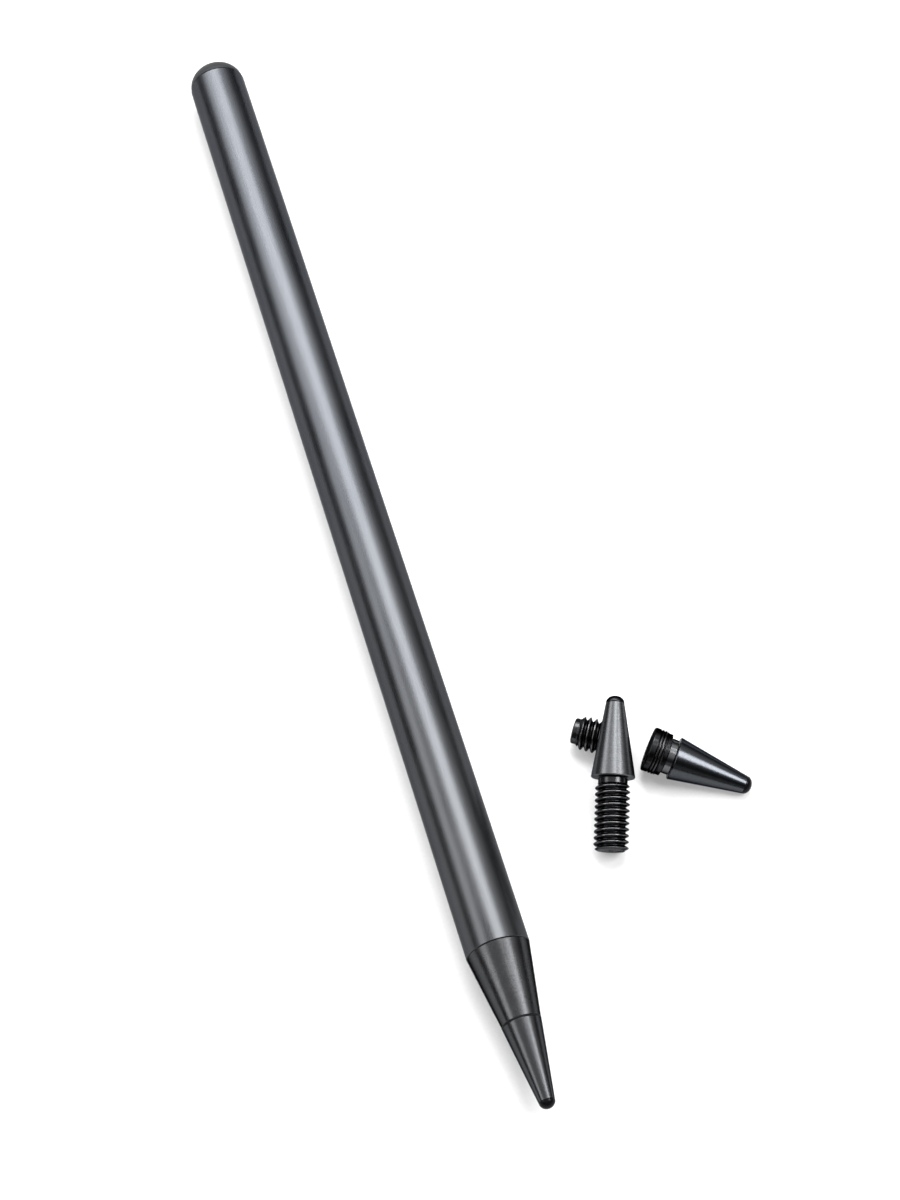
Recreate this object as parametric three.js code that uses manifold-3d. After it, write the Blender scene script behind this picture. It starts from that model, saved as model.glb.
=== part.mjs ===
// Passive stylus pen with a screw-in tip, two spare tips and a loose threaded stud.
// Millimetres. The pen lies along Y with its writing tip towards -Y, and +Z is up.
// The origin is on the barrel's flat underside, at the middle of the barrel's length.
import * as THREE from 'three';
import { mergeVertices } from 'three/addons/utils/BufferGeometryUtils.js';
import Module from 'manifold-3d';

const wasm = await Module();
wasm.setup();

// Barrel
const barrelDiameter = 8.2;
const barrelLength = 145.8;
const barrelWall = 1.1;
const barrelEdge = 0.08;

// Rubber dome at the rear end, and the plug that carries it
const domeHeight = 3.25;
const domeRubber = 1.1;
const plugLength = 9;
const plugEdge = 0.4;

// Nose cone
const noseLength = 9.6;
const noseSpigotLength = 7;
const noseSpigotEdge = 0.4;
const threadedHoleSpare = 0.6;
const threadMouthDepth = 0.55;

// Mounted tip: a tapered body with a rounded point, held by a threaded stud
const tipBaseDiameter = 5.05;
const tipLength = 11;
const tipEdge = 0.12;
const pointDiameter = 2.08;
const pointHeight = 0.95;
const pointPinDiameter = 1.1;
const pointPinLength = 3.2;
const washerThickness = 0.2;
const washerInset = 0.05;

// Spare tips: a little thicker than the mounted one, on the same studs
const spareBaseDiameter = 5.75;
const spareTipLength = 10.7;
const sparePointDiameter = 2.4;

// Stud
const threadDiameter = 4.5;
const threadDepth = 0.5;
const threadPitch = 0.8;
const threadCrest = 0.1;
const threadLength = 8.6;
const neckDiameter = 3.8;
const neckLength = 0.8;
const studPinDiameter = 2.6;
const studPinLength = 3.6;
const studEndChamfer = 0.35;
const studDimpleDiameter = 0.8;
const studDimpleDepth = 0.3;
const looseStudLength = 6.4;
const looseStudNose = 0.7;
const looseStudNoseDiameter = 3.4;
const looseStudNoseChamfer = 0.15;

// Ridged collar of the lying spare tip
const collarDiameter = 5.9;
const collarLength = 2.45;
const collarRidges = 3;
const ridgeSpacing = 0.4;
const ridgeDepth = 0.18;
const ridgeGrooveWidth = 0.2;
const collarStepInset = 0.14;
const collarStepLength = 0.65;
const collarNeckDiameter = 4.7;
const collarNeckLength = 1;
const collarPinDiameter = 3;
const collarPinChamfer = 0.18;

// Room left between pieces
const fitGap = 0.1;
const seamGap = 0.1;
const threadGap = 0.1;
const restGap = 0.2;

// Points closer than this are one point of a solid
const weldDistance = 1e-4;

// Numbers of flats round each kind of piece
const barrelSides = 36;
const tipSides = 30;
const plugSides = 24;
const threadSides = 18;
const domeSteps = 6;
const smallDomeSteps = 4;

// Where the loose pieces lie, seen from above, and which way they face, in degrees from +Y towards +X
const leaningTipFoot = [18, -63.05];
const leaningTipHeading = 18.9;
const looseStudEnd = [18.6, -45.4];
const looseStudHeading = 303;
const lyingTipRear = [26.85, -51.2];
const lyingTipHeading = 124.6;

// Search for the leaning tip's tilt
const steepestLean = Math.PI / 6;
const leanPasses = 40;

// Radii and places that follow from the sizes above
const barrelRadius = barrelDiameter / 2;
const boreRadius = barrelRadius - barrelWall;
const tipBaseRadius = tipBaseDiameter / 2;
const spareBaseRadius = spareBaseDiameter / 2;
const pointRadius = pointDiameter / 2;
const sparePointRadius = sparePointDiameter / 2;
const crestRadius = threadDiameter / 2;
const rootRadius = crestRadius - threadDepth;
const neckRadius = neckDiameter / 2;
const coneLength = tipLength - pointHeight;
const spareConeLength = spareTipLength - pointHeight;
const spareTaper = Math.atan((spareBaseRadius - sparePointRadius) / spareConeLength);
const studLength = neckLength + threadLength;
const frontSeamY = -barrelLength / 2;
const rearSeamY = barrelLength / 2;
const tipSeamY = frontSeamY - noseLength - washerThickness - 2 * seamGap;

const finishes = {
  gunmetal: { color: 0x3b3e43, roughness: 0.34, metalness: 0.9 },
  black: { color: 0x1d1f22, roughness: 0.4, metalness: 0.85 },
  graphite: { color: 0x34363a, roughness: 0.42, metalness: 0.8 },
  point: { color: 0x101113, roughness: 0.22, metalness: 0.3 },
  rubber: { color: 0x2f3235, roughness: 0.75, metalness: 0 },
};

// Pieces and solids
function piece(name, geometry, finish) {
  const mesh = new THREE.Mesh(geometry, new THREE.MeshStandardMaterial(finishes[finish]));
  mesh.name = name;
  return mesh;
}

// A round piece turned about Y from [radius, y] points, listed from low y to high y on the outside.
// Its flats, not its corners, lie at each radius, and one flat faces straight down.
function turned(outline, sides) {
  const corner = 1 / Math.cos(Math.PI / sides);
  const points = outline.map(([radius, y]) => new THREE.Vector2(radius * corner, y));
  const [first, last] = [points[0], points[points.length - 1]];
  if (first.x > 0 || last.x > 0) points.push(first.clone());
  return new THREE.LatheGeometry(points, sides, Math.PI / sides);
}

function solidOf(geometry) {
  const bare = geometry.clone();
  bare.deleteAttribute('normal');
  bare.deleteAttribute('uv');
  const merged = mergeVertices(bare, weldDistance);
  const index = merged.index.array;
  const kept = [];
  for (let i = 0; i < index.length; i += 3) {
    const [a, b, c] = [index[i], index[i + 1], index[i + 2]];
    if (a !== b && b !== c && c !== a) kept.push(a, b, c);
  }
  return new wasm.Manifold(new wasm.Mesh({
    numProp: 3,
    vertProperties: new Float32Array(merged.attributes.position.array),
    triVerts: new Uint32Array(kept),
  }));
}

function geometryOf(solid) {
  const { vertProperties, triVerts } = solid.getMesh();
  const geometry = new THREE.BufferGeometry();
  geometry.setAttribute('position', new THREE.BufferAttribute(new Float32Array(vertProperties), 3));
  geometry.setIndex(new THREE.BufferAttribute(new Uint32Array(triVerts), 1));
  geometry.computeVertexNormals();
  return geometry;
}

// A right-hand threaded rod along Y, longer than [from, to] by a turn at each end.
// Its roots pass through y = 0 straight above the axis, so every thread keeps step with the others.
function threadedRod(root, crest, from, to) {
  const firstTurn = Math.floor(from / threadPitch) - 1;
  const turns = Math.ceil(to / threadPitch) + 1 - firstTurn;
  const steps = turns * threadSides;
  const flank = (threadPitch - threadCrest) / 2;
  const profile = [[root, 0], [crest, flank], [crest, flank + threadCrest]];
  const positions = [];
  const rows = [];
  for (let step = 0; step <= steps + threadSides; step += 1) {
    const angle = (2 * Math.PI * step) / threadSides;
    const rise = threadPitch * (firstTurn + step / threadSides);
    rows.push(profile.slice(0, step <= steps ? 3 : 1).map(([radius, y]) => {
      positions.push(radius * Math.sin(angle), rise + y, radius * Math.cos(angle));
      return positions.length / 3 - 1;
    }));
  }
  const vertex = (step, point) => (point < 3 ? rows[step][point] : rows[step + threadSides][0]);
  const axisPoint = (y) => {
    positions.push(0, y, 0);
    return positions.length / 3 - 1;
  };
  const low = axisPoint(threadPitch * (firstTurn + 0.5));
  const high = axisPoint(threadPitch * (firstTurn + turns + 0.5));
  const index = [];
  for (let step = 0; step < steps; step += 1) {
    for (let point = 0; point < 3; point += 1) {
      const [a, b] = [vertex(step, point), vertex(step + 1, point)];
      const [c, d] = [vertex(step + 1, point + 1), vertex(step, point + 1)];
      index.push(a, b, c, a, c, d);
    }
  }
  for (let step = 0; step < threadSides; step += 1) {
    index.push(low, vertex(step + 1, 0), vertex(step, 0));
    index.push(high, vertex(steps + step, 0), vertex(steps + step + 1, 0));
  }
  for (let point = 0; point < 3; point += 1) {
    index.push(low, vertex(0, point), vertex(0, point + 1));
    index.push(high, vertex(steps, point + 1), vertex(steps, point));
  }
  const geometry = new THREE.BufferGeometry();
  geometry.setAttribute('position', new THREE.Float32BufferAttribute(positions, 3));
  geometry.setIndex(index);
  return solidOf(geometry);
}

// Barrel: a straight tube, with a flat running along its underside
function barrel() {
  return turned([
    [boreRadius, -barrelLength / 2],
    [barrelRadius - barrelEdge, -barrelLength / 2],
    [barrelRadius, -barrelLength / 2 + barrelEdge],
    [barrelRadius, barrelLength / 2 - barrelEdge],
    [barrelRadius - barrelEdge, barrelLength / 2],
    [boreRadius, barrelLength / 2],
  ], barrelSides);
}

// Points of a rounded end, a quarter of an ellipse from its rim to the axis, bulging towards +Y by height
function domeArc(rimRadius, rimY, height, steps) {
  const points = [];
  for (let step = 0; step < steps; step += 1) {
    const angle = (Math.PI / 2) * (step / steps);
    points.push([rimRadius * Math.cos(angle), rimY + height * Math.sin(angle)]);
  }
  points.push([0, rimY + height]);
  return points;
}

// Plug: pressed into the barrel's rear end, with a boss that fills the rubber dome. y = 0 is the rear seam.
function endPlug() {
  const spigot = boreRadius - fitGap;
  const boss = barrelRadius - barrelEdge - domeRubber - fitGap;
  return turned([
    [0, -plugLength],
    [spigot - plugEdge, -plugLength],
    [spigot, -plugLength + plugEdge],
    [spigot, 0],
    [boss, 0],
    ...domeArc(boss, seamGap + fitGap, domeHeight - domeRubber - fitGap, smallDomeSteps),
  ], plugSides);
}

// Dome: a soft cap over the plug's boss, seated on the barrel's end. y = 0 is the rear seam.
function touchDome() {
  const rim = barrelRadius - barrelEdge;
  const cavityRim = rim - domeRubber;
  return turned([
    [cavityRim, seamGap],
    ...domeArc(rim, seamGap, domeHeight, domeSteps),
    ...domeArc(cavityRim, seamGap + fitGap, domeHeight - domeRubber, smallDomeSteps).reverse(),
  ], barrelSides);
}

// Nose: a tapered front with a threaded hole that has a plain mouth for the stud's neck.
// y = 0 is its seam with the barrel, and the tip is towards -Y.
function noseCone() {
  const spigot = boreRadius - fitGap;
  const holeRadius = crestRadius + threadGap;
  const holeTop = -noseLength + studLength - washerThickness + threadedHoleSpare;
  const blank = solidOf(turned([
    [0, -noseLength],
    [tipBaseRadius, -noseLength],
    [barrelRadius - barrelEdge / 2, -seamGap - barrelEdge / 2],
    [barrelRadius - barrelEdge, -seamGap],
    [spigot, -seamGap],
    [spigot, noseSpigotLength - noseSpigotEdge],
    [spigot - noseSpigotEdge, noseSpigotLength],
    [0, noseSpigotLength],
  ], barrelSides));
  const rodY = tipSeamY - frontSeamY;
  const rod = threadedRod(rootRadius + threadGap, holeRadius, -noseLength - rodY, holeTop - rodY)
    .translate([0, rodY, 0]);
  const reach = solidOf(turned([
    [0, -noseLength - threadPitch],
    [holeRadius + threadGap, -noseLength - threadPitch],
    [holeRadius + threadGap, holeTop - threadDepth],
    [rootRadius, holeTop],
    [0, holeTop],
  ], threadSides));
  const mouth = solidOf(turned([
    [0, -noseLength - seamGap],
    [neckRadius + fitGap, -noseLength - seamGap],
    [neckRadius + fitGap, -noseLength + threadMouthDepth],
    [0, -noseLength + threadMouthDepth],
  ], threadSides));
  return geometryOf(blank.subtract(rod.intersect(reach)).subtract(mouth));
}

// Washer: thin ring under the tip's shoulder. y = 0 is the shoulder.
function tipWasher() {
  const inner = neckRadius + fitGap;
  const outer = tipBaseRadius - washerInset;
  return turned([
    [inner, seamGap],
    [outer, seamGap],
    [outer, seamGap + washerThickness],
    [inner, seamGap + washerThickness],
  ], tipSides);
}

// Tapered body, holed behind for the stud's pin and in front for the point's pin. y = 0 is its shoulder.
function tipCone(baseRadius, frontRadius, length) {
  const studHole = studPinDiameter / 2 + fitGap;
  const pointHole = pointPinDiameter / 2 + fitGap;
  const slope = (baseRadius - frontRadius) / length;
  return turned([
    [pointHole, -length],
    [frontRadius, -length],
    [baseRadius - tipEdge * slope, -tipEdge],
    [baseRadius - tipEdge, 0],
    [studHole, 0],
    [studHole, -studPinLength - seamGap],
    [pointHole, -studPinLength - seamGap],
  ], tipSides);
}

// Rounded writing point on a pin that sits in the front of a tapered body of this length
function tipPoint(rimRadius, length) {
  const pin = pointPinDiameter / 2;
  const dome = domeArc(rimRadius, length + seamGap, pointHeight - seamGap, smallDomeSteps)
    .map(([radius, y]) => [radius, -y])
    .reverse();
  return turned([
    ...dome,
    [pin, -length - seamGap],
    [pin, -length + pointPinLength],
    [0, -length + pointPinLength],
  ], tipSides);
}

function spareCone() {
  return tipCone(spareBaseRadius, sparePointRadius, spareConeLength);
}

function sparePoint() {
  return tipPoint(sparePointRadius, spareConeLength);
}

// Stud: pin, neck and thread in one piece, with a chamfered, dimpled end. y = 0 is the tip's shoulder.
function tipStud() {
  const pin = studPinDiameter / 2;
  const neck = solidOf(turned([
    [0, seamGap],
    [neckRadius, seamGap],
    [neckRadius, neckLength],
    [0, neckLength],
  ], threadSides));
  const envelope = solidOf(turned([
    [0, -studPinLength],
    [pin, -studPinLength],
    [pin, seamGap],
    [neckRadius, seamGap],
    [neckRadius, neckLength],
    [crestRadius + threadGap, neckLength + threadDepth],
    [crestRadius + threadGap, studLength - studEndChamfer],
    [crestRadius - studEndChamfer, studLength],
    [studDimpleDiameter / 2, studLength],
    [0, studLength - studDimpleDepth],
  ], threadSides));
  const rod = threadedRod(rootRadius, crestRadius, -studPinLength, studLength);
  return geometryOf(rod.intersect(envelope).add(neck));
}

// Loose stud: a thread with a plain nose at one end, where y = 0, and a chamfer at the other
function looseStud() {
  const outer = crestRadius + threadGap;
  const nose = looseStudNoseDiameter / 2;
  const rod = threadedRod(rootRadius, crestRadius, 0, looseStudLength);
  const envelope = solidOf(turned([
    [0, studDimpleDepth],
    [studDimpleDiameter / 2, 0],
    [nose - looseStudNoseChamfer, 0],
    [nose, looseStudNoseChamfer],
    [nose, looseStudNose],
    [outer, looseStudNose + outer - nose],
    [outer, looseStudLength - studEndChamfer - threadGap],
    [crestRadius - studEndChamfer, looseStudLength],
    [studDimpleDiameter / 2, looseStudLength],
    [0, looseStudLength - studDimpleDepth],
  ], threadSides));
  return geometryOf(rod.intersect(envelope));
}

// Collar: a ring with fine ridges round it, pressed on the stud's rear pin. y = 0 is the tip's shoulder.
function ridgedCollar() {
  const front = collarNeckLength + seamGap;
  const rear = front + collarLength;
  const radius = collarDiameter / 2;
  const inner = collarPinDiameter / 2 + fitGap;
  const grooves = [];
  for (let ridge = 0; ridge < collarRidges; ridge += 1) {
    const y = front + collarStepLength + ridge * ridgeSpacing;
    const middle = y + ridgeGrooveWidth / 2;
    grooves.push([radius, y], [radius - ridgeDepth, middle], [radius, y + ridgeGrooveWidth]);
  }
  return turned([
    [inner, front],
    [radius - collarStepInset, front],
    [radius - collarStepInset, front + collarStepLength - collarStepInset],
    ...grooves,
    [radius, rear - tipEdge],
    [radius - tipEdge, rear],
    [inner, rear],
  ], tipSides);
}

// Plain stud of the lying tip: front pin, thick neck and the rear pin that the collar sits on
function collarStud() {
  const rear = collarNeckLength + seamGap + collarLength;
  return turned([
    [0, -studPinLength],
    [studPinDiameter / 2, -studPinLength],
    [studPinDiameter / 2, seamGap],
    [collarNeckDiameter / 2, seamGap],
    [collarNeckDiameter / 2, collarNeckLength],
    [collarPinDiameter / 2, collarNeckLength],
    [collarPinDiameter / 2, rear - collarPinChamfer],
    [collarPinDiameter / 2 - collarPinChamfer, rear],
    [0, rear],
  ], tipSides);
}

// Tilt at which the leaning tip's tapered side clears the loose stud that it lies on.
// Seen in the leaning tip's own upright plane, the stud is a circle at reach from the tip's foot.
function leanAngle(reach) {
  const clear = crestRadius + restGap;
  let [low, high] = [0, steepestLean];
  for (let pass = 0; pass < leanPasses; pass += 1) {
    const tilt = (low + high) / 2;
    const rise = crestRadius * (1 - Math.cos(tilt)) + studEndChamfer * Math.sin(tilt);
    const depth = reach * Math.sin(tilt) - rise * Math.cos(tilt);
    const along = reach * Math.cos(tilt) + rise * Math.sin(tilt) - studLength;
    const side = spareBaseRadius - along * Math.tan(spareTaper);
    if ((depth - side) * Math.cos(spareTaper) < clear) low = tilt;
    else high = tilt;
  }
  return high;
}

// Distance from the leaning tip's foot to where its line crosses the loose stud's line, seen from above
function crossingReach() {
  const [lean, lie] = [leaningTipHeading, looseStudHeading].map(THREE.MathUtils.degToRad);
  const dx = looseStudEnd[0] - leaningTipFoot[0];
  const dy = looseStudEnd[1] - leaningTipFoot[1];
  return (dy * Math.sin(lie) - dx * Math.cos(lie)) / Math.sin(lie - lean);
}

// Turns a group so that its -Y side faces along heading and up by tilt, with its lowest point on the floor
function lay(group, heading, tilt, place) {
  group.rotation.set(-tilt, 0, Math.PI - THREE.MathUtils.degToRad(heading), 'ZXY');
  group.position.set(place[0], place[1], 0);
  group.updateMatrixWorld(true);
  group.position.z = -new THREE.Box3().setFromObject(group, true).min.z;
}

// The pen, lying on the barrel's flat
function pen() {
  const group = new THREE.Group();
  group.position.z = barrelRadius;
  const rear = new THREE.Group();
  rear.position.y = rearSeamY;
  rear.add(piece('end_plug', endPlug(), 'black'));
  rear.add(piece('touch_dome', touchDome(), 'rubber'));
  const nose = piece('nose_cone', noseCone(), 'black');
  nose.position.y = frontSeamY;
  const tip = new THREE.Group();
  tip.position.y = tipSeamY;
  tip.add(piece('tip_washer', tipWasher(), 'black'));
  tip.add(piece('tip_stud', tipStud(), 'black'));
  tip.add(piece('tip_cone', tipCone(tipBaseRadius, pointRadius, coneLength), 'graphite'));
  tip.add(piece('tip_point', tipPoint(pointRadius, coneLength), 'point'));
  group.add(piece('barrel', barrel(), 'gunmetal'), rear, nose, tip);
  return group;
}

// A spare tip that leans on the loose stud with its thread end on the floor
function leaningTip() {
  const group = new THREE.Group();
  const tilt = leanAngle(crossingReach());
  const heading = THREE.MathUtils.degToRad(leaningTipHeading);
  const reach = studLength * Math.cos(tilt);
  group.add(piece('spare_a_stud', tipStud(), 'black'));
  group.add(piece('spare_a_cone', spareCone(), 'graphite'));
  group.add(piece('spare_a_point', sparePoint(), 'graphite'));
  const shoulderX = leaningTipFoot[0] + reach * Math.sin(heading);
  const shoulderY = leaningTipFoot[1] + reach * Math.cos(heading);
  lay(group, leaningTipHeading, tilt, [shoulderX, shoulderY]);
  return group;
}

// A spare tip that lies flat on its tapered side
function lyingTip() {
  const group = new THREE.Group();
  const rear = collarNeckLength + seamGap + collarLength;
  const heading = THREE.MathUtils.degToRad(lyingTipHeading);
  const reach = rear * Math.cos(spareTaper);
  group.add(piece('spare_b_collar', ridgedCollar(), 'black'));
  group.add(piece('spare_b_stud', collarStud(), 'black'));
  group.add(piece('spare_b_cone', spareCone(), 'graphite'));
  group.add(piece('spare_b_point', sparePoint(), 'point'));
  const shoulderX = lyingTipRear[0] + reach * Math.sin(heading);
  const shoulderY = lyingTipRear[1] + reach * Math.cos(heading);
  lay(group, lyingTipHeading, -spareTaper, [shoulderX, shoulderY]);
  return group;
}

// The loose stud, flat on the floor
function lyingStud() {
  const group = new THREE.Group();
  group.add(piece('loose_stud', looseStud(), 'black'));
  lay(group, looseStudHeading, 0, looseStudEnd);
  return group;
}

const stylusSet = new THREE.Group();
stylusSet.add(pen(), leaningTip(), lyingTip(), lyingStud());

export default stylusSet;
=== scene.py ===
# Looks of a passive stylus pen with its spare tips and a loose threaded stud.
# Sizes are in millimetres and become metres where a mesh is made. Each piece is turned about its own Y axis.
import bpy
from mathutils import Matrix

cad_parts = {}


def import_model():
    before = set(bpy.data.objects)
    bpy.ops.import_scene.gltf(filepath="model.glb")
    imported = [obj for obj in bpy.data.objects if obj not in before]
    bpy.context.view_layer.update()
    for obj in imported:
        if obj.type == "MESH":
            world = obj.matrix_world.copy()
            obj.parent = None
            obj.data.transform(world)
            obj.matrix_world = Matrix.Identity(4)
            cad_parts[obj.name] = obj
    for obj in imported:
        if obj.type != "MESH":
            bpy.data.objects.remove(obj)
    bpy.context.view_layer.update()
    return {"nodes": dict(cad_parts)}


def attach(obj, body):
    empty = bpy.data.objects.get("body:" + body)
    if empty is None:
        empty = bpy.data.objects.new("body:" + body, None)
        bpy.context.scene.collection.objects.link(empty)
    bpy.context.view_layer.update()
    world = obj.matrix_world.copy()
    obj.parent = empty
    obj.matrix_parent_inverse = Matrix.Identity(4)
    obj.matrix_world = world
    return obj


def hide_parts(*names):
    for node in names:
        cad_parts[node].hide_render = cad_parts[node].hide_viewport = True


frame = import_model()

import math

import bpy
from mathutils import Matrix, Vector

MM = 0.001

# Barrel and rear dome
BARREL_RADIUS = 4.1
BARREL_LENGTH = 145.8
BARREL_WALL = 1.1
BARREL_EDGE = 0.08
DOME_HEIGHT = 3.25
DOME_RUBBER = 1.1

# Nose
NOSE_LENGTH = 9.6
SPIGOT_LENGTH = 7.0
SPIGOT_EDGE = 0.4
HOLE_SPARE = 0.6
MOUTH_DEPTH = 0.55

# Mounted tip
TIP_RADIUS = 2.525
TIP_LENGTH = 11.0
TIP_EDGE = 0.12
MOUNTED_TIP_EDGE = 0.05
POINT_RADIUS = 1.04
POINT_HEIGHT = 0.95
POINT_PIN_RADIUS = 0.55
POINT_PIN_LENGTH = 3.2
WASHER_THICKNESS = 0.2
WASHER_SEAM = 0.02

# Spare tips
SPARE_RADIUS = 2.875
SPARE_LENGTH = 10.7
SPARE_POINT_RADIUS = 1.2

# Thread and studs
CREST_RADIUS = 2.25
THREAD_DEPTH = 0.5
PITCH = 0.8
CREST_WIDTH = 0.1
THREAD_LENGTH = 8.6
NECK_RADIUS = 1.9
NECK_LENGTH = 0.8
PIN_RADIUS = 1.3
PIN_LENGTH = 3.6
END_CHAMFER = 0.35
DIMPLE_RADIUS = 0.4
DIMPLE_DEPTH = 0.3
LOOSE_STUD_LENGTH = 6.4
STUD_NOSE_LENGTH = 0.7
STUD_NOSE_RADIUS = 1.7
STUD_NOSE_CHAMFER = 0.15

# Collar of the lying spare tip
COLLAR_RADIUS = 2.95
COLLAR_LENGTH = 2.45
COLLAR_RIDGES = 3
RIDGE_SPACING = 0.4
RIDGE_DEPTH = 0.18
RIDGE_GROOVE = 0.2
COLLAR_STEP_INSET = 0.14
COLLAR_STEP_LENGTH = 0.65
COLLAR_NECK_RADIUS = 2.35
COLLAR_NECK_LENGTH = 1.0
COLLAR_PIN_RADIUS = 1.5
COLLAR_PIN_CHAMFER = 0.18

# Room between pieces
FIT_GAP = 0.1
SEAM_GAP = 0.1
NOSE_SEAM = 0.06
THREAD_GAP = 0.1

# Where the loose pieces lie, seen from above, and the way that they face, in degrees from +Y towards +X
LEANING_TIP_FOOT = (18.0, -63.05)
LEANING_TIP_HEADING = 18.9
LEANING_TIP_TILT = 17.15
LOOSE_STUD_END = (18.6, -45.4)
LOOSE_STUD_HEADING = 303.0
LYING_TIP_REAR = (26.85, -51.2)
LYING_TIP_HEADING = 124.6

# How finely the pieces are turned
SIDES = 128
THREAD_SIDES = 96
THREAD_ROW = 0.04
ARC_STEPS = 24
TINY = 1e-6

# Rounded corners: their reach along each side, at most this share of a side, with a point that holds the
# shading a little further out. Corners straighter than this many degrees stay as they are.
EASE = 0.05
SEAM_EASE = 0.015
EASE_STEPS = 4
EASE_SHARE = 0.3
HOLD = 1.5
NEARLY_STRAIGHT = 172.0

# How far from a corner a closed outline starts and ends, on a flat face
JOIN = 0.2

# Softboxes: how far away they stand in metres and their watts for each square metre at a brightness of 1
LAMP_DISTANCE = 1.2
LAMP_WATTS = 4.0

# Even light that comes from all round
AMBIENT = 0.11

# What shiny pieces see of the world: its level at the horizon, the heights between which it turns white,
# and how much further up the dark band reaches towards -Y
BAND_LEVEL = 0.06
BAND_LOW = 0.18
BAND_HIGH = 0.65
BAND_TILT = 0.7

# Floor: half its side in metres, its grey and how far it varies, and its glow beside the pen and far away, at
# these distances in metres
FLOOR_HALF = 3.0
FLOOR_GREY = 0.6
FLOOR_VARIES = 0.01
NEAR_GLOW = 0.31
NEAR_DISTANCE = 0.12
FAR_GLOW = 1.0
FAR_DISTANCE = 0.5

# Camera: its place in metres, the ways that its front, right side and underside face, and its lens and sensor
# in millimetres
CAMERA_PLACE = (-0.03996, -0.18805, 0.2993)
CAMERA_FORWARD = (0.1416, 0.4830, -0.8641)
CAMERA_RIGHT = (0.9596, -0.2813, 0.0)
CAMERA_DOWN = (-0.2431, -0.8292, -0.5033)
CAMERA_LENS = 76.83
CAMERA_SENSOR = 36.0

# Where a noise turns from its low to its high value: an even mix, more of the low value, a slow change, and
# few high spots
EVEN = (0.3, 0.7)
SPARSE = (0.35, 0.7)
SLOW = (0.25, 0.75)
FEW = (0.62, 0.78)

# Tips: how far their specks differ from their level, how far their rings differ from their roughness, and how
# much of their blue also goes into the green
TIP_SPECKS = (0.84, 1.16)
RING_SHEEN = 0.01
GREEN_SHARE = 0.4

# Wear: how far it reaches in from a thread's crest and from the collar's outside, how strong it is on the
# collar, and how far behind the collar's front it starts and stops to fade
CREST_WEAR = 0.07
COLLAR_WEAR = 0.03
COLLAR_WORN = 0.3
WEAR_FADES = 0.5
WEAR_GONE = 1.9

# Collar: where the painted highlight on the neck in front of it ends, where the painted shade on its back
# face starts, and how much rougher that face is
NECK_HIGHLIGHT_FADES = 0.06
NECK_HIGHLIGHT_GONE = 0.01
BACK_SHADE_FADES = 0.05
BACK_SHADE_FULL = 0.01
BACK_ROUGHER = 0.5

# How far behind the barrel's middle its tone is fully blue, as a share of its length
BLUE_BEHIND = 0.2

# How strongly dust shows on the dome
DUST = 0.15

# Places that follow
BORE_RADIUS = BARREL_RADIUS - BARREL_WALL
SPIGOT_RADIUS = BORE_RADIUS - FIT_GAP
RIM_RADIUS = BARREL_RADIUS - BARREL_EDGE
ROOT_RADIUS = CREST_RADIUS - THREAD_DEPTH
CONE_LENGTH = TIP_LENGTH - POINT_HEIGHT
SPARE_CONE_LENGTH = SPARE_LENGTH - POINT_HEIGHT
STUD_LENGTH = NECK_LENGTH + THREAD_LENGTH
FRONT_SEAM = -BARREL_LENGTH / 2
REAR_SEAM = BARREL_LENGTH / 2
TIP_SEAM = FRONT_SEAM - NOSE_LENGTH - WASHER_THICKNESS - 2 * SEAM_GAP
COLLAR_FRONT = COLLAR_NECK_LENGTH + SEAM_GAP
COLLAR_REAR = COLLAR_FRONT + COLLAR_LENGTH
FULLY_BLUE = BLUE_BEHIND * BARREL_LENGTH


# Shapes

def eased(outline, ease=EASE):
    """The outline with each corner rounded, and a point on each side of a rounding that holds the shading."""
    points = []
    for i, (x, y) in enumerate(outline):
        here = Vector((x, y))
        if i in (0, len(outline) - 1):
            points.append(here)
            continue
        before, after = Vector(outline[i - 1]) - here, Vector(outline[i + 1]) - here
        if before.length * after.length == 0 or before.angle(after) > math.radians(NEARLY_STRAIGHT):
            points.append(here)
            continue
        reach = min(ease, before.length * EASE_SHARE, after.length * EASE_SHARE)
        start, end = here + before.normalized() * reach, here + after.normalized() * reach
        points.append(here + before.normalized() * reach * HOLD)
        for step in range(EASE_STEPS + 1):
            t = step / EASE_STEPS
            points.append(start.lerp(here, t).lerp(here.lerp(end, t), t))
        points.append(here + after.normalized() * reach * HOLD)
    return [tuple(p) for p in points]


def arc(rim_radius, rim_y, height):
    """Points of a rounded end, a quarter of an ellipse from its rim to the axis, height long towards +Y."""
    turns = [math.pi / 2 * step / ARC_STEPS for step in range(ARC_STEPS)]
    skin = [(rim_radius * math.cos(a), rim_y + height * math.sin(a)) for a in turns]
    return skin + [(0.0, rim_y + height)]


def thread_height(y, angle):
    """0 at a root and 1 on a crest of the right-hand thread. A root passes y = 0 straight above the axis, and
    a flank is halfway between straight and rounded."""
    phase = (y / PITCH - angle / (2 * math.pi)) % 1.0
    flank = (PITCH - CREST_WIDTH) / PITCH
    rise = min(1.0, (1 - abs(2 * phase - 1)) / flank)
    return 0.5 * rise + 0.5 * (0.5 - 0.5 * math.cos(math.pi * rise))


def fine_rows(points, low, high):
    """Adds rows to an outline between low and high, close enough to carry a thread."""
    rows = []
    for (x0, y0), (x1, y1) in zip(points, points[1:]):
        rows.append((x0, y0))
        inside = min(y0, y1) >= low - TINY and max(y0, y1) <= high + TINY
        steps = max(1, math.ceil(abs(y1 - y0) / THREAD_ROW)) if inside else 1
        rows += [(x0 + (x1 - x0) * k / steps, y0 + (y1 - y0) * k / steps) for k in range(1, steps)]
    return rows + [points[-1]]


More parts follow.
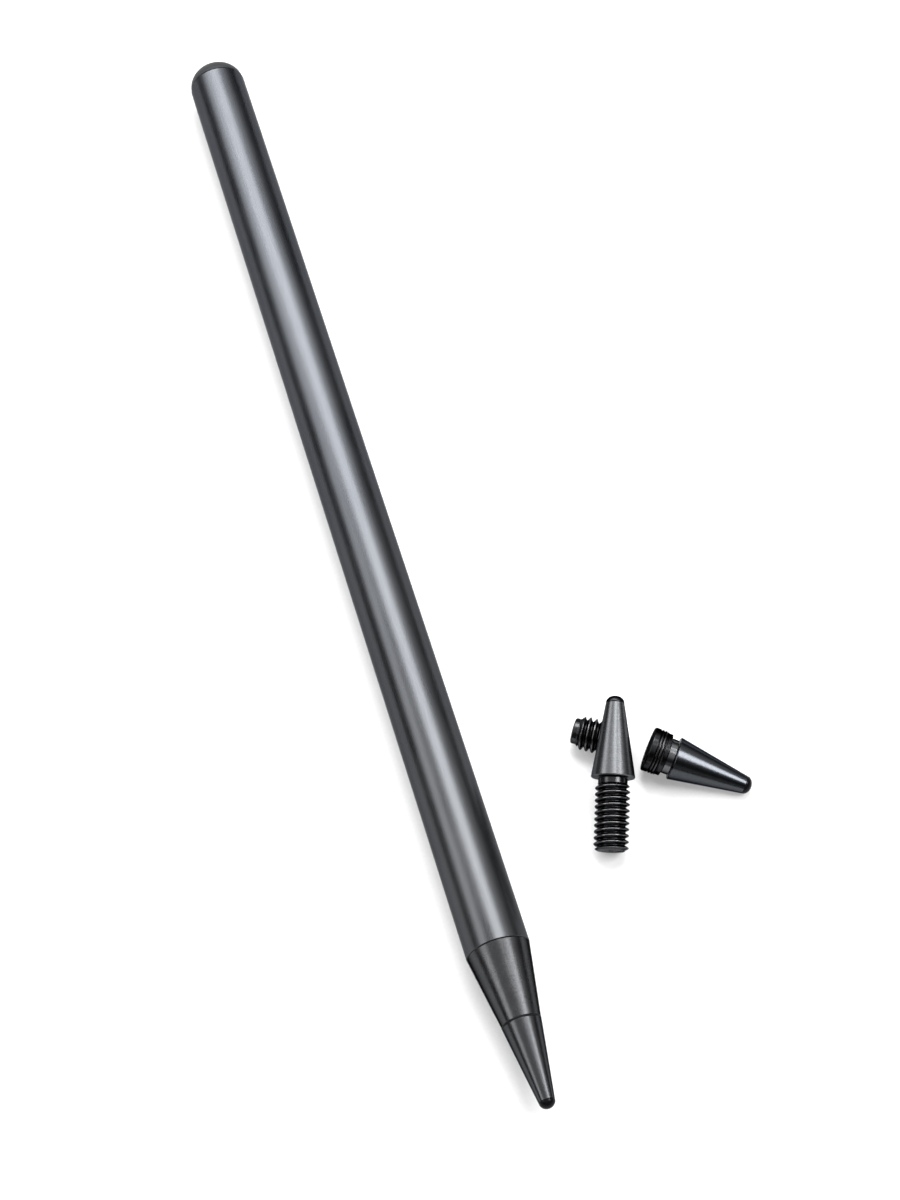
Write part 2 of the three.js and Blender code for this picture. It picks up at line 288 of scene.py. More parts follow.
def turned(name, outline, sides=SIDES, closed=False, radius_at=None):
    """A mesh turned about Y from (radius, y) points, listed from low y to high y on the outside.
    A closed outline joins its last point to its first. radius_at moves a point by its angle about Y."""
    rings, vertices, faces = [], [], []
    for radius, y in outline:
        if radius < TINY:
            vertices.append((0.0, y * MM, 0.0))
            rings.append([len(vertices) - 1])
            continue
        ring = []
        for side in range(sides):
            angle = 2 * math.pi * side / sides
            r = radius_at(radius, y, angle) if radius_at else radius
            vertices.append((r * math.sin(angle) * MM, y * MM, r * math.cos(angle) * MM))
            ring.append(len(vertices) - 1)
        rings.append(ring)
    pairs = list(zip(rings, rings[1:])) + ([(rings[-1], rings[0])] if closed else [])
    for low, high in pairs:
        for side in range(sides):
            after = (side + 1) % sides
            if len(low) > 1 and len(high) > 1:
                faces.append((low[side], low[after], high[after], high[side]))
            elif len(high) > 1:
                faces.append((low[0], high[after], high[side]))
            elif len(low) > 1:
                faces.append((low[side], low[after], high[0]))
    mesh = bpy.data.meshes.new(name)
    mesh.from_pydata(vertices, [], faces)
    mesh.validate()
    mesh.shade_smooth()
    piece = bpy.data.objects.new(name, mesh)
    bpy.context.scene.collection.objects.link(piece)
    return piece


# Pieces

def barrel_tube():
    """Plain round tube with its outer corners just broken."""
    low, high = FRONT_SEAM, REAR_SEAM
    outline = eased([
        (BORE_RADIUS + JOIN, low),
        (RIM_RADIUS, low),
        (BARREL_RADIUS, low + BARREL_EDGE),
        (BARREL_RADIUS, high - BARREL_EDGE),
        (RIM_RADIUS, high),
        (BORE_RADIUS, high),
        (BORE_RADIUS, low),
        (BORE_RADIUS + JOIN / 2, low),
    ], ease=SEAM_EASE)
    return turned("barrel_tube", outline, closed=True)


def dome_cap():
    """Hollow dome: an even skin over the plug's own dome."""
    cavity = RIM_RADIUS - DOME_RUBBER
    skin = arc(RIM_RADIUS, SEAM_GAP, DOME_HEIGHT)
    rim = eased([(cavity, SEAM_GAP), (cavity + 1.5 * JOIN, SEAM_GAP), (RIM_RADIUS, SEAM_GAP), skin[1]])
    outside = rim[:-1] + skin[1:]
    inside = arc(cavity, SEAM_GAP + FIT_GAP, DOME_HEIGHT - DOME_RUBBER)[::-1]
    return turned("dome_cap", outside + inside, closed=True)


def nose_taper():
    """Tapered nose with a spigot behind it and a threaded hole that opens at its front."""
    front = -NOSE_LENGTH - SEAM_GAP + WASHER_SEAM
    hole_top = -NOSE_LENGTH + STUD_LENGTH - WASHER_THICKNESS + HOLE_SPARE
    hole_crest = CREST_RADIUS + THREAD_GAP
    mouth_radius = NECK_RADIUS + FIT_GAP
    outline = eased([
        (0.0, hole_top),
        (ROOT_RADIUS, hole_top),
        (hole_crest, hole_top - THREAD_DEPTH),
        (hole_crest, front),
        (TIP_RADIUS, front),
        (BARREL_RADIUS - BARREL_EDGE / 2, -NOSE_SEAM - BARREL_EDGE / 2),
        (RIM_RADIUS, -NOSE_SEAM),
        (SPIGOT_RADIUS, -NOSE_SEAM),
        (SPIGOT_RADIUS, SPIGOT_LENGTH - SPIGOT_EDGE),
        (SPIGOT_RADIUS - SPIGOT_EDGE, SPIGOT_LENGTH),
        (0.0, SPIGOT_LENGTH),
    ], ease=SEAM_EASE)
    shift = TIP_SEAM - FRONT_SEAM

    def radius_at(radius, y, angle):
        threaded = ROOT_RADIUS + THREAD_GAP + THREAD_DEPTH * thread_height(y - shift, angle)
        if y < -NOSE_LENGTH + MOUTH_DEPTH:
            threaded = max(threaded, mouth_radius)
        return min(radius, threaded) if radius <= hole_crest and y <= hole_top else radius

    past_mouth = hole_crest + SEAM_EASE * (1 + HOLD) / 2
    mouth = next(k for k, (radius, y) in enumerate(outline) if radius > past_mouth)
    threaded = fine_rows(outline[:mouth], front, hole_top)
    return turned("nose_taper", threaded + outline[mouth:], radius_at=radius_at)


def washer_ring():
    """Thin flat ring between nose and tip."""
    inner, outer = NECK_RADIUS + FIT_GAP, TIP_RADIUS
    low, high = SEAM_GAP, SEAM_GAP + WASHER_THICKNESS
    middle = (inner + outer) / 2
    outline = eased([
        (middle, low),
        (outer, low),
        (outer, high),
        (inner, high),
        (inner, low),
        (middle - JOIN / 2, low),
    ], ease=SEAM_EASE)
    return turned("washer_ring", outline, closed=True)


def tapered_body(name, base, front, length, shoulder, edge=TIP_EDGE):
    """Turned tip from its shoulder to the point's seat, with its shoulder's sharp edge broken by edge."""
    stud_hole, point_hole = PIN_RADIUS + FIT_GAP, POINT_PIN_RADIUS + FIT_GAP
    floor = -PIN_LENGTH - SEAM_GAP
    outline = eased([
        (point_hole + JOIN / 2, -length),
        (front, -length),
        (base - edge * (base - front) / length, shoulder - edge),
        (base - edge, shoulder),
        (stud_hole, shoulder),
        (stud_hole, floor),
        (point_hole, floor),
        (point_hole, -length),
        (point_hole + JOIN / 4, -length),
    ], ease=SEAM_EASE)
    return turned(name, outline, closed=True)


def tip_taper(name):
    shoulder = SEAM_GAP - WASHER_SEAM
    return tapered_body(name, TIP_RADIUS, POINT_RADIUS, CONE_LENGTH, shoulder, edge=MOUNTED_TIP_EDGE)


def spare_taper(name):
    return tapered_body(name, SPARE_RADIUS, SPARE_POINT_RADIUS, SPARE_CONE_LENGTH, 0.0)


def round_point(name, rim_radius=POINT_RADIUS, length=CONE_LENGTH):
    """Rounded point with a pin behind it, which fills the point hole of a tip length long."""
    rim = -length - WASHER_SEAM
    dome = [(r, -y) for r, y in arc(rim_radius, -rim, length + POINT_HEIGHT + rim)][::-1]
    pin_end = -length + POINT_PIN_LENGTH
    pin = [(POINT_PIN_RADIUS, rim), (POINT_PIN_RADIUS, pin_end), (0.0, pin_end)]
    back = eased([dome[-2], (rim_radius, rim), *pin], ease=SEAM_EASE)
    return turned(name, dome[:-1] + back[1:])


def spare_point(name):
    return round_point(name, SPARE_POINT_RADIUS, SPARE_CONE_LENGTH)


def with_thread(radius, y, angle):
    """The stud's own radius, cut by the thread down to a plain neck beside the tip."""
    threaded = ROOT_RADIUS + THREAD_DEPTH * thread_height(y, angle)
    return min(radius, max(threaded, NECK_RADIUS) if SEAM_GAP <= y <= NECK_LENGTH else threaded)


def with_loose_thread(radius, y, angle):
    """The loose stud's own radius, cut by the thread."""
    return min(radius, ROOT_RADIUS + THREAD_DEPTH * thread_height(y, angle))


def threaded_stud(name):
    """Threaded stud with a pin for the tip at one end and a dimple at the other."""
    outer = CREST_RADIUS + THREAD_GAP
    outline = eased([
        (0.0, -PIN_LENGTH),
        (PIN_RADIUS, -PIN_LENGTH),
        (PIN_RADIUS, SEAM_GAP),
        (NECK_RADIUS, SEAM_GAP),
        (NECK_RADIUS, NECK_LENGTH),
        (outer, NECK_LENGTH + THREAD_DEPTH),
        (outer, STUD_LENGTH - END_CHAMFER),
        (CREST_RADIUS - END_CHAMFER, STUD_LENGTH),
        (DIMPLE_RADIUS, STUD_LENGTH),
        (0.0, STUD_LENGTH - DIMPLE_DEPTH),
    ])
    rows = fine_rows(outline, NECK_LENGTH, STUD_LENGTH)
    return turned(name, rows, sides=THREAD_SIDES, radius_at=with_thread)


def loose_threaded_stud(name):
    """Short threaded stud with a plain nose and a dimple at each end."""
    outer, edge = CREST_RADIUS + THREAD_GAP, END_CHAMFER + THREAD_GAP
    outline = eased([
        (0.0, DIMPLE_DEPTH),
        (DIMPLE_RADIUS, 0.0),
        (STUD_NOSE_RADIUS - STUD_NOSE_CHAMFER, 0.0),
        (STUD_NOSE_RADIUS, STUD_NOSE_CHAMFER),
        (STUD_NOSE_RADIUS, STUD_NOSE_LENGTH),
        (outer, STUD_NOSE_LENGTH + outer - STUD_NOSE_RADIUS),
        (outer, LOOSE_STUD_LENGTH - edge),
        (CREST_RADIUS - END_CHAMFER, LOOSE_STUD_LENGTH),
        (DIMPLE_RADIUS, LOOSE_STUD_LENGTH),
        (0.0, LOOSE_STUD_LENGTH - DIMPLE_DEPTH),
    ])
    rows = fine_rows(outline, 0.0, LOOSE_STUD_LENGTH)
    return turned(name, rows, sides=THREAD_SIDES, radius_at=with_loose_thread)


def ridged_collar(name):
    """Ring with a step at its front and narrow grooves that leave ridges between them."""
    inner, step = COLLAR_PIN_RADIUS + FIT_GAP, COLLAR_RADIUS - COLLAR_STEP_INSET
    low, half = COLLAR_RADIUS - RIDGE_DEPTH, RIDGE_GROOVE / 2
    grooves = []
    for ridge in range(COLLAR_RIDGES):
        y = COLLAR_FRONT + COLLAR_STEP_LENGTH + ridge * RIDGE_SPACING
        grooves += [(COLLAR_RADIUS, y), (low, y + half), (COLLAR_RADIUS, y + RIDGE_GROOVE)]
    outline = eased([
        (inner + 2 * JOIN, COLLAR_FRONT),
        (step, COLLAR_FRONT),
        (step, COLLAR_FRONT + COLLAR_STEP_LENGTH - COLLAR_STEP_INSET),
        *grooves,
        (COLLAR_RADIUS, COLLAR_REAR - TIP_EDGE),
        (COLLAR_RADIUS - TIP_EDGE, COLLAR_REAR),
        (inner, COLLAR_REAR),
        (inner, COLLAR_FRONT),
        (inner + JOIN, COLLAR_FRONT),
    ])
    return turned(name, outline, closed=True)


def collar_stud(name):
    """Plain stud with a neck beside the tip and a pin that carries the collar."""
    outline = eased([
        (0.0, -PIN_LENGTH),
        (PIN_RADIUS, -PIN_LENGTH),
        (PIN_RADIUS, SEAM_GAP),
        (COLLAR_NECK_RADIUS, SEAM_GAP),
        (COLLAR_NECK_RADIUS, COLLAR_NECK_LENGTH),
        (COLLAR_PIN_RADIUS, COLLAR_NECK_LENGTH),
        (COLLAR_PIN_RADIUS, COLLAR_REAR - COLLAR_PIN_CHAMFER),
        (COLLAR_PIN_RADIUS - COLLAR_PIN_CHAMFER, COLLAR_REAR),
        (0.0, COLLAR_REAR),
    ])
    return turned(name, outline)


# Materials

def feed(tree, socket, value):
    """Sets a socket to a number, or links it to another node's output."""
    if isinstance(value, (int, float)):
        socket.default_value = value
    else:
        tree.links.new(value, socket)


class Nodes:
    """One material's nodes, with short calls for the ones that every finish here needs."""

    def __init__(self, name, metallic, specular_tint=None):
        self.material = bpy.data.materials.new(name)
        self.material.use_nodes = True
        self.tree = self.material.node_tree
        self.bsdf = self.tree.nodes["Principled BSDF"]
        self.bsdf.inputs["Metallic"].default_value = metallic
        if specular_tint:
            self.bsdf.inputs["Specular Tint"].default_value = (*specular_tint, 1.0)
        self.place = self.add("ShaderNodeTexCoord").outputs["Object"]

    def add(self, kind, **values):
        node = self.tree.nodes.new(kind)
        for key, value in values.items():
            setattr(node, key, value)
        return node

    def link(self, source, target):
        self.tree.links.new(source, target)

    def noise(self, size, detail, stretch=(1.0, 1.0, 1.0)):
        """Noise whose features are about size millimetres, longer along an axis by its stretch."""
        mapping = self.add("ShaderNodeMapping")
        mapping.inputs["Scale"].default_value = [1.0 / (size * MM * s) for s in stretch]
        self.link(self.place, mapping.inputs["Vector"])
        texture = self.add("ShaderNodeTexNoise")
        texture.inputs["Scale"].default_value = 1.0
        texture.inputs["Detail"].default_value = detail
        self.link(mapping.outputs["Vector"], texture.inputs["Vector"])
        return texture.outputs["Fac"]

    def math(self, operation, a, b=0.0):
        node = self.add("ShaderNodeMath", operation=operation)
        for socket, value in zip(node.inputs, (a, b)):
            feed(self.tree, socket, value)
        return node.outputs[0]

    def ramp(self, value, low, high, start=0.0, end=1.0):
        node = self.add("ShaderNodeMapRange", interpolation_type="SMOOTHSTEP")
        for key, number in (("From Min", low), ("From Max", high), ("To Min", start), ("To Max", end)):
            node.inputs[key].default_value = number
        self.link(value, node.inputs["Value"])
        return node.outputs["Result"]

    def split(self):
        node = self.add("ShaderNodeSeparateXYZ")
        self.link(self.place, node.inputs["Vector"])
        return node.outputs

    def along(self):
        """Distance along the piece's own axis."""
        return self.split()["Y"]

    def radius(self):
        """Distance from the piece's own axis."""
        parts = self.split()
        across, up = (self.math("MULTIPLY", parts[axis], parts[axis]) for axis in "XZ")
        return self.math("SQRT", self.math("ADD", across, up))

    def colour(self, factor, dark, light):
        """A colour that goes from dark at 0 to light at 1, each of them a plain colour or another node's."""
        node = self.add("ShaderNodeMix", data_type="RGBA")
        self.link(factor, node.inputs["Factor"])
        sockets = [socket for socket in node.inputs if socket.type == "RGBA"]
        for socket, value in zip(sockets, (dark, light)):
            if isinstance(value, tuple):
                socket.default_value = (*value, 1.0)
            else:
                self.link(value, socket)
        return next(socket for socket in node.outputs if socket.type == "RGBA")

    def bump(self, height, depth, normal=None):
        """Relief depth millimetres high."""
        node = self.add("ShaderNodeBump")
        node.inputs["Distance"].default_value = depth * MM
        self.link(height, node.inputs["Height"])
        if normal:
            self.link(normal, node.inputs["Normal"])
        return node.outputs["Normal"]

    def finish(self, colour, roughness, normal):
        self.link(colour, self.bsdf.inputs["Base Color"])
        self.link(roughness, self.bsdf.inputs["Roughness"])
        self.link(normal, self.bsdf.inputs["Normal"])
        return self.material


def gunmetal():
    """Satin anodised tube: fine lines along it, a faint cloudiness and a bluer tone towards the rear."""
    n = Nodes("gunmetal", metallic=1.0, specular_tint=(0.46, 0.46, 0.47))
    lines = n.noise(size=0.06, detail=3.0, stretch=(1.0, 60.0, 1.0))
    cloud = n.noise(size=6.0, detail=3.0, stretch=(1.0, 3.0, 1.0))
    grain = n.noise(size=0.05, detail=1.0)
    cloudy = n.ramp(cloud, *EVEN)
    front = n.colour(cloudy, dark=(0.0532, 0.0553, 0.0588), light=(0.0612, 0.0633, 0.0668))
    rear = n.colour(cloudy, dark=(0.052, 0.055, 0.061), light=(0.06, 0.063, 0.069))
    colour = n.colour(n.ramp(n.along(), FRONT_SEAM * MM, FULLY_BLUE * MM), front, rear)
    line_roughness = n.ramp(lines, *SLOW, start=0.24, end=0.31)
    cloud_roughness = n.ramp(cloud, *EVEN, start=0.0, end=0.05)
    roughness = n.math("ADD", line_roughness, cloud_roughness)
    normal = n.bump(grain, depth=0.0012, normal=n.bump(lines, depth=0.0008))
    return n.finish(colour, roughness, normal)


def black_metal():
    """Black anodised nose: darker and glossier, with a fine grain."""
    n = Nodes("black_metal", metallic=1.0, specular_tint=(0.24, 0.24, 0.24))
    grain = n.noise(size=0.07, detail=3.0)
    speck = n.ramp(n.noise(size=0.1, detail=4.0), *SPARSE)
    colour = n.colour(speck, dark=(0.043, 0.044, 0.046), light=(0.069, 0.07, 0.073))
    roughness = n.ramp(n.noise(size=2.5, detail=3.0), *EVEN, start=0.23, end=0.29)
    return n.finish(colour, roughness, n.bump(grain, depth=0.0015))


def tip_metal(name, level, roughness, blue=1.08):
    """Graphite-grey turned tip with rings round it from the lathe and a fine sparkle. The level is its plain
    grey, and blue is its share of blue against red."""
    n = Nodes(name, metallic=1.0, specular_tint=(0.3, 0.3, 0.31))
    rings = n.noise(size=0.05, detail=2.0, stretch=(40.0, 1.0, 40.0))
    speck = n.noise(size=0.1, detail=4.0)
    tone = (1.0, blue ** GREEN_SHARE, blue)
    dark, light = (tuple(level * speck_level * part for part in tone) for speck_level in TIP_SPECKS)
    colour = n.colour(n.ramp(speck, *SPARSE), dark, light)
    sheen = n.ramp(rings, *SLOW, start=roughness - RING_SHEEN, end=roughness + RING_SHEEN)
    return n.finish(colour, sheen, n.bump(speck, depth=0.0018, normal=n.bump(rings, depth=0.0002)))


def thread_steel():
    """Black-oxide thread, glossy on its flanks and rubbed to grey along the crests."""
    n = Nodes("thread_steel", metallic=1.0, specular_tint=(0.35, 0.35, 0.36))
    crest = n.ramp(n.radius(), (CREST_RADIUS - CREST_WEAR) * MM, CREST_RADIUS * MM)
    patches = n.ramp(n.noise(size=0.8, detail=2.0), *EVEN, start=0.35, end=0.65)
    worn = n.math("MULTIPLY", crest, patches)
    mottle = n.ramp(n.noise(size=0.12, detail=3.0), *EVEN)
    colour = n.colour(mottle, dark=(0.03, 0.0306, 0.032), light=(0.048, 0.049, 0.051))
    colour = n.colour(worn, dark=colour, light=(0.13, 0.13, 0.134))
    roughness = n.ramp(n.noise(size=0.3, detail=3.0), *EVEN, start=0.17, end=0.27)
    return n.finish(colour, roughness, n.bump(n.noise(size=0.06, detail=3.0), depth=0.003))


def collar_steel():
    """Black-oxide collar: turned all round, with its sharp edges rubbed a little, a back face painted darker
    as painted shade and a neck in front of it painted lighter as a painted highlight."""
    n = Nodes("collar_steel", metallic=1.0, specular_tint=(0.08, 0.08, 0.08))
    turning = n.noise(size=0.05, detail=2.0, stretch=(30.0, 1.0, 30.0))
    mottle = n.ramp(n.noise(size=0.15, detail=4.0), *SPARSE)
    colour = n.colour(mottle, dark=(0.02, 0.0206, 0.0218), light=(0.03, 0.031, 0.0327))
    edge = n.ramp(n.radius(), (COLLAR_RADIUS - COLLAR_WEAR) * MM, COLLAR_RADIUS * MM)
    fades, gone = (COLLAR_FRONT + WEAR_FADES) * MM, (COLLAR_FRONT + WEAR_GONE) * MM
    worn = n.math("MULTIPLY", edge, n.ramp(n.along(), fades, gone, start=1.0, end=0.0))
    colour = n.colour(n.math("MULTIPLY", worn, COLLAR_WORN), dark=colour, light=(0.14, 0.14, 0.145))
    # Painted highlight: the neck in front of the collar is painted a lighter grey so that it shows a
    # highlight like the cone's.
    fades, gone = (COLLAR_FRONT - NECK_HIGHLIGHT_FADES) * MM, (COLLAR_FRONT - NECK_HIGHLIGHT_GONE) * MM
    neck = n.ramp(n.along(), fades, gone, start=1.0, end=0.0)
    colour = n.colour(neck, dark=colour, light=(0.1, 0.103, 0.108))
    # Painted shade: the back face is painted near black, darker than the rest of the collar.
    back = n.ramp(n.along(), (COLLAR_REAR - BACK_SHADE_FADES) * MM, (COLLAR_REAR - BACK_SHADE_FULL) * MM)
    colour = n.colour(back, dark=colour, light=(0.007, 0.0073, 0.0078))
    turned_roughness = n.ramp(turning, *SLOW, start=0.17, end=0.22)
    roughness = n.math("ADD", turned_roughness, n.math("MULTIPLY", back, BACK_ROUGHER))
    return n.finish(colour, roughness, n.bump(turning, depth=0.0008))


def point_black():
    """Hard polished black point with a few hair scratches."""
    n = Nodes("point_black", metallic=0.0)
    n.bsdf.inputs["Specular IOR Level"].default_value = 0.06
    scratch = n.noise(size=0.04, detail=2.0, stretch=(8.0, 1.0, 8.0))
    mottle = n.ramp(n.noise(size=0.2, detail=3.0), *EVEN)
    colour = n.colour(mottle, dark=(0.003, 0.003, 0.004), light=(0.006, 0.006, 0.007))
    roughness = n.ramp(scratch, *EVEN, start=0.08, end=0.14)
    return n.finish(colour, roughness, n.bump(scratch, depth=0.001))


def dome_rubber():
    """Matte dark grey conductive rubber with a soft, slightly dusty skin."""
    n = Nodes("dome_rubber", metallic=0.0)
    n.bsdf.inputs["Specular IOR Level"].default_value = 0.25
    skin = n.noise(size=0.06, detail=4.0)
    dust = n.ramp(n.noise(size=0.18, detail=5.0), *FEW)
    mottle = n.ramp(n.noise(size=1.5, detail=3.0), *EVEN)
    colour = n.colour(mottle, dark=(0.0115, 0.0127, 0.0147), light=(0.0162, 0.0177, 0.02))
    colour = n.colour(n.math("MULTIPLY", dust, DUST), dark=colour, light=(0.1, 0.1, 0.105))
    roughness = n.ramp(skin, *EVEN, start=0.5, end=0.62)
    return n.finish(colour, roughness, n.bump(skin, depth=0.006))


def washer_black():
    """Thin black plastic washer, faintly moulded."""
    n = Nodes("washer_black", metallic=0.0)
    n.bsdf.inputs["Specular IOR Level"].default_value = 0.1
    skin = n.noise(size=0.05, detail=3.0)
    mottle = n.ramp(n.noise(size=0.4, detail=3.0), *EVEN)
    colour = n.colour(mottle, dark=(0.003, 0.003, 0.004), light=(0.006, 0.006, 0.007))
    roughness = n.ramp(skin, *EVEN, start=0.55, end=0.7)
    return n.finish(colour, roughness, n.bump(skin, depth=0.003))


# Putting the pieces in place

def lay(pieces, heading, tilt, place):
    """Turns pieces so that their -Y side faces along heading and up by tilt, and stands them on the floor."""
    facing = Matrix.Rotation(math.pi - math.radians(heading), 3, "Z")
    turn = facing @ Matrix.Rotation(-math.radians(tilt), 3, "X")
    lowest = min((turn @ v.co).z for piece in pieces for v in piece.data.vertices)
    for piece in pieces:
        piece.matrix_world = Matrix.Translation((place[0] * MM, place[1] * MM, -lowest)) @ turn.to_4x4()


def dress(piece, body, node, material):
    """The piece takes a CAD node's place on its body, with a finish."""
    piece.data.materials.append(material)
    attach(piece, body)
    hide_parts(node)


def pen_pieces(finish):
    """The pen along Y, with its axis a barrel radius above the floor."""
    rows = [
        (barrel_tube(), 0.0, "pen", "barrel", "gunmetal"),
        (dome_cap(), REAR_SEAM, "pen", "touch_dome", "dome_rubber"),
        (nose_taper(), FRONT_SEAM, "pen", "nose_cone", "black_metal"),
        (washer_ring(), TIP_SEAM, "tip_carriage", "tip_washer", "washer"),
        (threaded_stud("tip_thread"), TIP_SEAM, "tip", "tip_stud", "thread_steel"),
        (tip_taper("tip_taper"), TIP_SEAM, "tip", "tip_cone", "tip_metal"),
        (round_point("tip_end"), TIP_SEAM, "tip", "tip_point", "point"),
    ]
    for piece, y, body, node, slot in rows:
        piece.matrix_world = Matrix.Translation((0.0, y * MM, BARREL_RADIUS * MM))
        dress(piece, body, node, finish[slot])
    plug = frame["nodes"]["end_plug"]
    plug.data.materials.clear()
    plug.data.materials.append(finish["black_metal"])


def leaning_tip(finish):
    """A spare tip that leans on the loose stud with its thread end on the floor."""
    stud = threaded_stud("spare_a_thread")
    taper, end = spare_taper("spare_a_taper"), spare_point("spare_a_end")
    heading = math.radians(LEANING_TIP_HEADING)
    reach = STUD_LENGTH * math.cos(math.radians(LEANING_TIP_TILT))
    place = (LEANING_TIP_FOOT[0] + reach * math.sin(heading), LEANING_TIP_FOOT[1] + reach * math.cos(heading))
    lay([stud, taper, end], LEANING_TIP_HEADING, LEANING_TIP_TILT, place)
    dress(stud, "spare_tip_a", "spare_a_stud", finish["thread_steel"])
    dress(taper, "spare_tip_a", "spare_a_cone", finish["satin_tip"])
    dress(end, "spare_tip_a", "spare_a_point", finish["dark_tip"])


def lying_tip(finish):
    """A spare tip that lies flat on its tapered side."""
    collar, stud = ridged_collar("spare_b_ring"), collar_stud("spare_b_shank")
    taper, end = spare_taper("spare_b_taper"), spare_point("spare_b_end")
    tilt = -math.atan((SPARE_RADIUS - SPARE_POINT_RADIUS) / SPARE_CONE_LENGTH)
    heading, reach = math.radians(LYING_TIP_HEADING), COLLAR_REAR * math.cos(tilt)
    place = (LYING_TIP_REAR[0] + reach * math.sin(heading), LYING_TIP_REAR[1] + reach * math.cos(heading))
    lay([collar, stud, taper, end], LYING_TIP_HEADING, math.degrees(tilt), place)
    dress(collar, "spare_tip_b", "spare_b_collar", finish["collar"])
    dress(stud, "spare_tip_b", "spare_b_stud", finish["collar"])
    dress(taper, "spare_tip_b", "spare_b_cone", finish["glossy_tip"])
    dress(end, "spare_tip_b", "spare_b_point", finish["point"])


def lying_stud(finish):
    stud = loose_threaded_stud("loose_thread")
    lay([stud], LOOSE_STUD_HEADING, 0.0, LOOSE_STUD_END)
    dress(stud, "stud", "loose_stud", finish["thread_steel"])


# Studio

def seen_directly(tree):
    """1 for rays from the camera, off shiny surfaces or through clear ones, and 0 for the rest."""
    path = tree.nodes.new("ShaderNodeLightPath")
    total = path.outputs["Is Camera Ray"]
    for name in ("Is Glossy Ray", "Is Transmission Ray"):
        node = tree.nodes.new("ShaderNodeMath")
        node.operation = "MAXIMUM"
        feed(tree, node.inputs[0], total)
        feed(tree, node.inputs[1], path.outputs[name])
        total = node.outputs[0]
    return total


def floor():
    """A pale floor that keeps the shadows and fades to plain white away from the pen."""
    h = FLOOR_HALF
    mesh = bpy.data.meshes.new("floor")
    mesh.from_pydata([(-h, -h, 0), (h, -h, 0), (h, h, 0), (-h, h, 0)], [], [(0, 1, 2, 3)])
    plane = bpy.data.objects.new("floor", mesh)
    bpy.context.scene.collection.objects.link(plane)
    n = Nodes("floor_white", metallic=0.0)
    n.bsdf.inputs["Specular IOR Level"].default_value = 0.0
    n.bsdf.inputs["Roughness"].default_value = 1.0
    n.bsdf.inputs["Emission Color"].default_value = (1.0, 1.0, 1.0, 1.0)
    paper = n.noise(size=0.4, detail=4.0)
    dark, light = (FLOOR_GREY - FLOOR_VARIES,) * 3, (FLOOR_GREY + FLOOR_VARIES,) * 3
    n.link(n.colour(n.ramp(paper, *EVEN), dark, light), n.bsdf.inputs["Base Color"])
    away = n.add("ShaderNodeVectorMath", operation="LENGTH")
    n.link(n.place, away.inputs[0])
    glow = n.ramp(away.outputs["Value"], NEAR_DISTANCE, FAR_DISTANCE, start=NEAR_GLOW, end=FAR_GLOW)
    n.link(n.math("MULTIPLY", glow, seen_directly(n.tree)), n.bsdf.inputs["Emission Strength"])
    mesh.materials.append(n.material)


def world():
    """White behind everything, with a dark band at the horizon that only reflections show, and a dim fill.
    The band reaches higher on the -Y side."""
    scene = bpy.context.scene
    scene.world = bpy.data.worlds.new("studio")
    scene.world.use_nodes = True
    tree = scene.world.node_tree
    background = tree.nodes["Background"]
    background.inputs["Color"].default_value = (1.0, 1.0, 1.0, 1.0)

    def mixed(factor, dark, light):
        node = tree.nodes.new("ShaderNodeMix")
        for key, value in (("Factor", factor), ("A", dark), ("B", light)):
            feed(tree, node.inputs[key], value)
        return node.outputs["Result"]

    def calculated(operation, *values):
        node = tree.nodes.new("ShaderNodeMath")
        node.operation = operation
        for socket, value in zip(node.inputs, values):
            feed(tree, socket, value)
        return node.outputs[0]

    parts = tree.nodes.new("ShaderNodeSeparateXYZ")
    tree.links.new(tree.nodes.new("ShaderNodeTexCoord").outputs["Generated"], parts.inputs["Vector"])
    toward = calculated("MINIMUM", parts.outputs["Y"], 0.0)
    height = calculated("MULTIPLY_ADD", toward, BAND_TILT, parts.outputs["Z"])
    band = tree.nodes.new("ShaderNodeMapRange")
    band.interpolation_type = "SMOOTHSTEP"
    for key, number in (("From Min", BAND_LOW), ("From Max", BAND_HIGH), ("To Min", BAND_LEVEL)):
        band.inputs[key].default_value = number
    tree.links.new(height, band.inputs["Value"])
    path = tree.nodes.new("ShaderNodeLightPath")
    reflected = mixed(path.outputs["Is Glossy Ray"], AMBIENT, band.outputs["Result"])
    direct = calculated("MAXIMUM", path.outputs["Is Camera Ray"], path.outputs["Is Transmission Ray"])
    tree.links.new(mixed(direct, reflected, 1.0), background.inputs["Strength"])


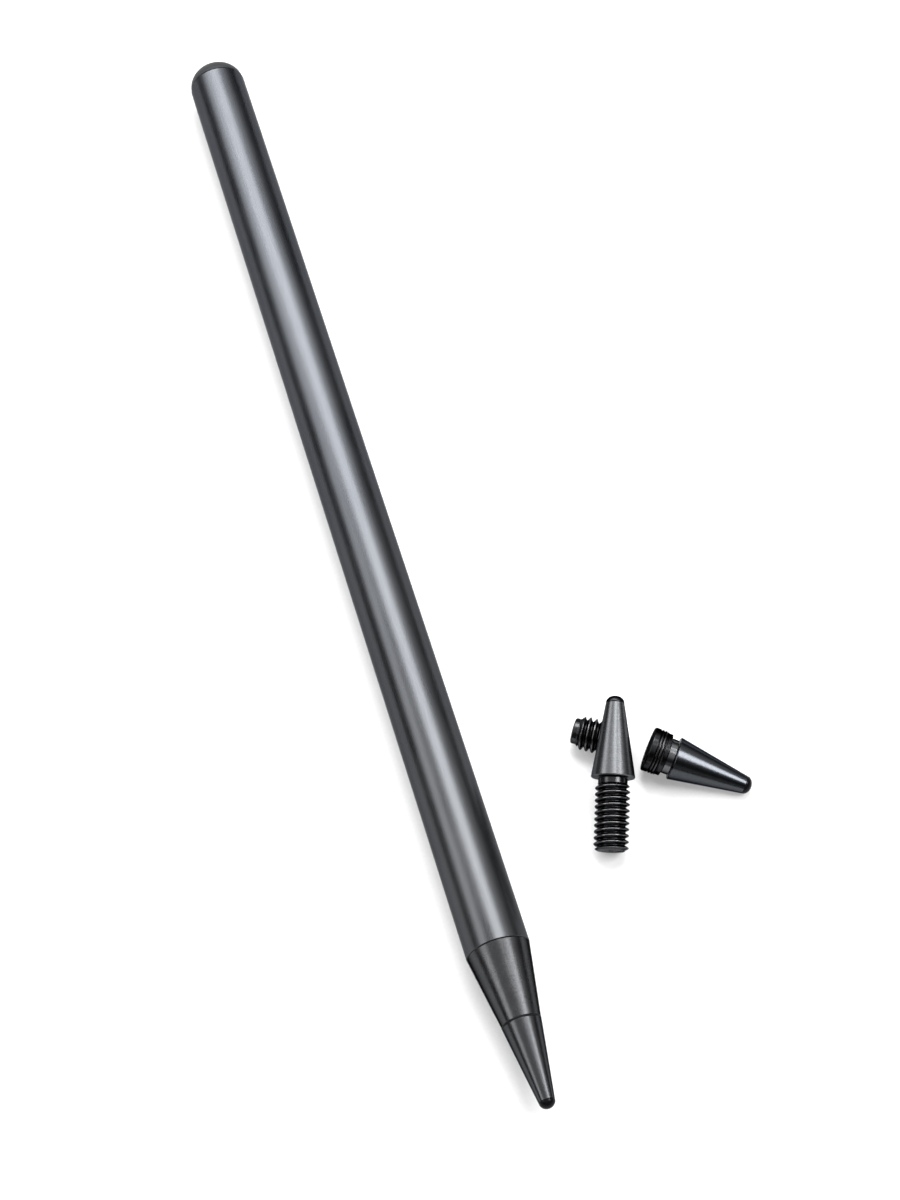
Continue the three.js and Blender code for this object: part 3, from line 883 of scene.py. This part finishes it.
def softbox(name, bearing, elevation, wide, high, brightness, roll=0.0):
    """A rectangular lamp that faces the pen, its bearing from +Y towards +X and its sides given as angles."""
    a, e = math.radians(bearing), math.radians(elevation)
    away = Vector((math.sin(a) * math.cos(e), math.cos(a) * math.cos(e), math.sin(e)))
    light = bpy.data.lights.new(name, "AREA")
    light.shape = "RECTANGLE"
    light.size = 2 * LAMP_DISTANCE * math.tan(math.radians(wide / 2))
    light.size_y = 2 * LAMP_DISTANCE * math.tan(math.radians(high / 2))
    light.energy = brightness * LAMP_WATTS * light.size * light.size_y
    lamp = bpy.data.objects.new(name, light)
    turn = away.to_track_quat("Z", "Y").to_matrix() @ Matrix.Rotation(math.radians(roll), 3, "Z")
    lamp.matrix_world = Matrix.Translation(away * LAMP_DISTANCE) @ turn.to_4x4()
    lamp.visible_camera = False
    bpy.context.scene.collection.objects.link(lamp)


def lamps():
    softbox("key_softbox", bearing=12.0, elevation=60.0, wide=27.0, high=50.0, brightness=8.3, roll=48.0)
    softbox("tail_softbox", bearing=113.0, elevation=54.5, wide=24.0, high=24.0, brightness=11.5, roll=-50.0)
    softbox("far_softbox", bearing=-26.0, elevation=43.0, wide=16.0, high=18.0, brightness=4.0)
    softbox("left_softbox", bearing=-64.0, elevation=38.5, wide=66.0, high=22.0, brightness=3.0)
    softbox("right_softbox", bearing=37.0, elevation=43.0, wide=22.0, high=18.0, brightness=1.5)
    softbox("rear_fill", bearing=180.0, elevation=15.0, wide=80.0, high=18.0, brightness=0.2)


def camera():
    """The photograph's view, found by fitting the barrel's outlines and seams."""
    lens = bpy.data.cameras.new("photo_camera")
    lens.lens = CAMERA_LENS
    lens.sensor_width = CAMERA_SENSOR
    lens.clip_start, lens.clip_end = 0.01, 20.0
    eye = bpy.data.objects.new("photo_camera", lens)
    turn = Matrix((CAMERA_RIGHT, -Vector(CAMERA_DOWN), -Vector(CAMERA_FORWARD))).transposed()
    eye.matrix_world = Matrix.Translation(CAMERA_PLACE) @ turn.to_4x4()
    bpy.context.scene.collection.objects.link(eye)
    bpy.context.scene.camera = eye


finish = {
    "gunmetal": gunmetal(),
    "black_metal": black_metal(),
    "tip_metal": tip_metal("tip_metal", level=0.052, roughness=0.26),
    "satin_tip": tip_metal("satin_tip", level=0.085, roughness=0.28),
    "glossy_tip": tip_metal("glossy_tip", level=0.05, roughness=0.21, blue=1.17),
    "dark_tip": tip_metal("dark_tip", level=0.018, roughness=0.26),
    "thread_steel": thread_steel(),
    "collar": collar_steel(),
    "point": point_black(),
    "dome_rubber": dome_rubber(),
    "washer": washer_black(),
}
pen_pieces(finish)
leaning_tip(finish)
lying_tip(finish)
lying_stud(finish)
floor()
world()
lamps()
camera()
bpy.context.scene.view_settings.view_transform = "Standard"
